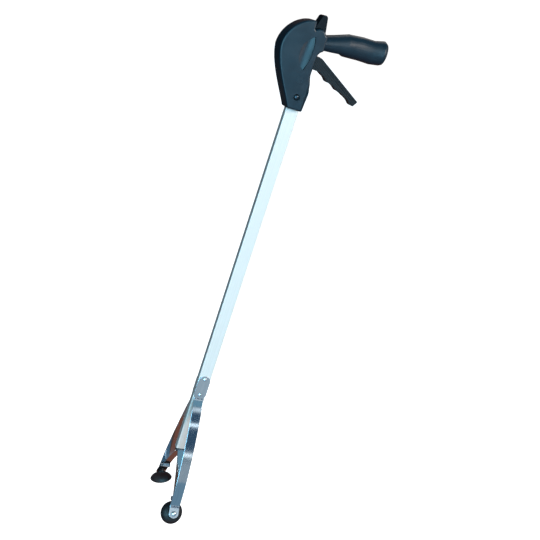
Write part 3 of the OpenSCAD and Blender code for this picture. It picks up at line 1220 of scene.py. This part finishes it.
@dataclass
class Studio:
    """The floor, the light round the object, and the camera."""

    floor_drop: float = 0.02
    floor_half: float = 30.0
    azimuth: float = 22.43
    elevation: float = 15.53
    roll: float = 18.59
    distance: float = 1.233
    lens: float = 57.0
    sensor: float = 36.0
    clip: Pair = (0.05, 100.0)
    aim: Triple = (0.0173, 0.0, 0.0238)
    ground_glow: float = 1.05
    card_low: Triple = (0.10, 0.33, 0.004)
    card_high: Pair = (0.20, -0.02)
    # Glow of the card under the jaws: painted shade, standing in for the shaded floor near the cups
    # in the fingers' reflection.
    card_glow: Triple = (0.17, 0.28, 0.37)
    lamp_target: Triple = (0.0, 0.0, -0.2)
    lamps: tuple[Softbox, ...] = (
        Softbox("front_softbox", (1.7, -1.6, 0.9), 0.9, 47.0, (1.0, 0.90, 0.82)),
        Softbox("back_softbox", (0.9, 1.5, 2.2), 1.2, 9.0, (1.0, 0.93, 0.86)),
    )
    base: Triple = (0.10, 0.14, 0.17)
    cards: tuple[StudioCard, ...] = (
        StudioCard(-95, -50, -200, 200, (0.21, 0.080, 0.055), 10),
        StudioCard(-60, -20, 100, 200, (0.16, 0.075, 0.055), 10),
        StudioCard(-25, 35, 95, 200, (0.13, 0.07, 0.05), 12),
        StudioCard(-25, 35, -200, -75, (0.025, 0.035, 0.045), 12),
        StudioCard(-50, -18, -30, 60, (0.42, 0.50, 0.56), 8),
        StudioCard(-18, -0.4, -30, 60, (0.34, 0.40, 0.45), 5),
        StudioCard(26, 60, -30, 60, (0.16, 0.32, 0.42), 3),
        StudioCard(2.9, 26, -30, 60, (0.038, 0.080, 0.138), 0.7),
        StudioCard(22.4, 25.5, -30, 60, (0.75, 0.85, 0.92), 1.0),
        StudioCard(14.3, 15.6, -30, 60, (1.7, 1.9, 2.05), 0.5),
        StudioCard(1.1, 2.6, 12, 34, (1.5, 1.6, 1.65), 0.4),
        StudioCard(-20, 20, -42, -12, (2.3, 5.0, 6.4), 3),
        StudioCard(-24, 24, -16, 8, (2.2, 5.6, 7.6), 3),
    )

    def build_floor(self) -> None:
        """Lays a plain pale floor a little below the cups."""
        material, bench, shader = new_surface("pale_floor")
        speckle = bench.noise(bench.object_place(), 900.0, 2.0)
        bench.feed(shader.inputs["Base Color"],
                   bench.mix(speckle, (0.93, 0.94, 0.95), (0.96, 0.965, 0.97)))
        shader.inputs["Roughness"].default_value = 0.9
        shader.inputs["Emission Color"].default_value = rgba((1.0, 1.0, 1.0))
        shader.inputs["Emission Strength"].default_value = 1.0
        half = self.floor_half
        floor = flat_sheet("floor", (-half, -half), (half, half), CAD_LOW.z - self.floor_drop,
                           material)
        floor.visible_glossy = False
        floor.visible_diffuse = False

    def build_world(self) -> None:
        """Lights the object from all round with soft cards on a pale ground."""
        world = bpy.data.worlds.new("studio")
        bpy.context.scene.world = world
        world.use_nodes = True
        bench = Bench(world.node_tree)
        direction = bench.put("ShaderNodeTexCoord").outputs["Generated"]
        axes = bench.put("ShaderNodeSeparateXYZ", None, Vector=direction).outputs
        elevation = bench.math("DEGREES", bench.math("ARCSINE", axes["Z"]))
        ahead = bench.math("MULTIPLY", axes["Y"], -1.0)
        azimuth = bench.math("DEGREES", bench.math("ARCTAN2", axes["X"], ahead))
        colour: Source = self.base
        for card in self.cards:
            mask = SHELF.place(bench, Effect.CARD, Elevation=elevation, Azimuth=azimuth,
                               Low=card.low, High=card.high, Left=card.left, Right=card.right,
                               Soft=card.soft)["Mask"]
            colour = bench.mix(mask, colour, card.colour)
        lit = bench.put("ShaderNodeBackground", None, Color=colour, Strength=1.0)
        plain = bench.put("ShaderNodeBackground", None, Color=rgba((1.0, 1.0, 1.0)),
                          Strength=self.ground_glow)
        seen = bench.put("ShaderNodeLightPath").outputs["Is Camera Ray"]
        mixed = bench.put("ShaderNodeMixShader")
        for index, source in enumerate((seen, lit.outputs[0], plain.outputs[0])):
            bench.feed(mixed.inputs[index], source)
        bench.put("ShaderNodeOutputWorld", None, Surface=mixed.outputs[0])

    def build_jaw_card(self) -> None:
        """Lays a small glowing dark blue card under the front of the jaws, seen only in their
        shine: painted shade, a painted reflection of the shaded floor near the cups.

        Its edges stand off the near cup's box: card_low by how far below the least X, Y and Z,
        card_high by how far past the greatest X and the least Y.
        """
        low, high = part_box("near_suction_cup")
        material, _, shader = new_surface("jaw_card_blue")
        shader.inputs["Base Color"].default_value = rgba((0.0, 0.0, 0.0))
        shader.inputs["Specular IOR Level"].default_value = 0.0
        # This glow is painted shade: a dim blue reflection that stands in for the shaded floor next
        # to the cups.
        shader.inputs["Emission Color"].default_value = rgba(self.card_glow)
        shader.inputs["Emission Strength"].default_value = 1.0
        corner = low - Vector(self.card_low)
        far_corner = (high.x + self.card_high[0], low.y + self.card_high[1])
        card = flat_sheet("jaw_card", (corner.x, corner.y), far_corner, corner.z, material)
        card.visible_camera = False
        card.visible_diffuse = False
        card.visible_shadow = False
        card.visible_transmission = False

    def build_lamps(self) -> None:
        """Adds the large soft lamps."""
        for box in self.lamps:
            lamp = bpy.data.lights.new(box.name, "AREA")
            lamp.size = box.size
            lamp.energy = box.power
            lamp.color = box.colour
            holder = bpy.data.objects.new(box.name, lamp)
            holder.location = box.place
            aim = Vector(self.lamp_target) - Vector(box.place)
            holder.rotation_euler = aim.to_track_quat("-Z", "Y").to_euler()
            bpy.context.scene.collection.objects.link(holder)

    def build_camera(self) -> None:
        """Sets the camera, which leans a little."""
        turn, lift, lean = (math.radians(a) for a in (self.azimuth, self.elevation, self.roll))
        back = Vector((-math.sin(turn) * math.cos(lift), -math.cos(turn) * math.cos(lift),
                       math.sin(lift)))
        right = Vector((math.cos(turn), -math.sin(turn), 0.0))
        up = back.cross(right)
        leaned_right = right * math.cos(lean) + up * math.sin(lean)
        leaned_up = up * math.cos(lean) - right * math.sin(lean)
        centre = (CAD_LOW + CAD_HIGH) / 2 + Vector(self.aim)
        lens = bpy.data.cameras.new("camera")
        lens.lens = self.lens
        lens.sensor_width = self.sensor
        lens.clip_start, lens.clip_end = self.clip
        camera = bpy.data.objects.new("camera", lens)
        columns = Matrix((leaned_right, leaned_up, back)).transposed().to_4x4()
        camera.matrix_world = Matrix.Translation(centre + back * self.distance) @ columns
        bpy.context.scene.collection.objects.link(camera)
        bpy.context.scene.camera = camera

    def build(self) -> list[str]:
        """Builds the whole studio.

        Returns:
            The names of what was made: the stage pieces, the camera and the lamps.
        """
        bpy.context.scene.view_settings.view_transform = "Standard"
        self.build_camera()
        self.build_floor()
        self.build_jaw_card()
        self.build_world()
        self.build_lamps()
        return ["camera", "floor", "jaw_card", *(box.name for box in self.lamps)]


def main() -> None:
    """Builds the studio and every sub-assembly, and reports each piece."""
    logging.basicConfig(level=logging.INFO, format="%(message)s")
    nodes = frame["nodes"]
    groups = {
        "studio": Studio(),
        "handle": Handle(nodes),
        "tube and rod": TubeAndRod(nodes),
        "near jaw": Jaw(Side.NEAR, 10.0, nodes),
        "far jaw": Jaw(Side.FAR, 3.0, nodes),
    }
    for title, group in groups.items():
        for name in group.build():
            LOG.info("%s: %s", title, name)


if __name__ == "__main__":
    main()
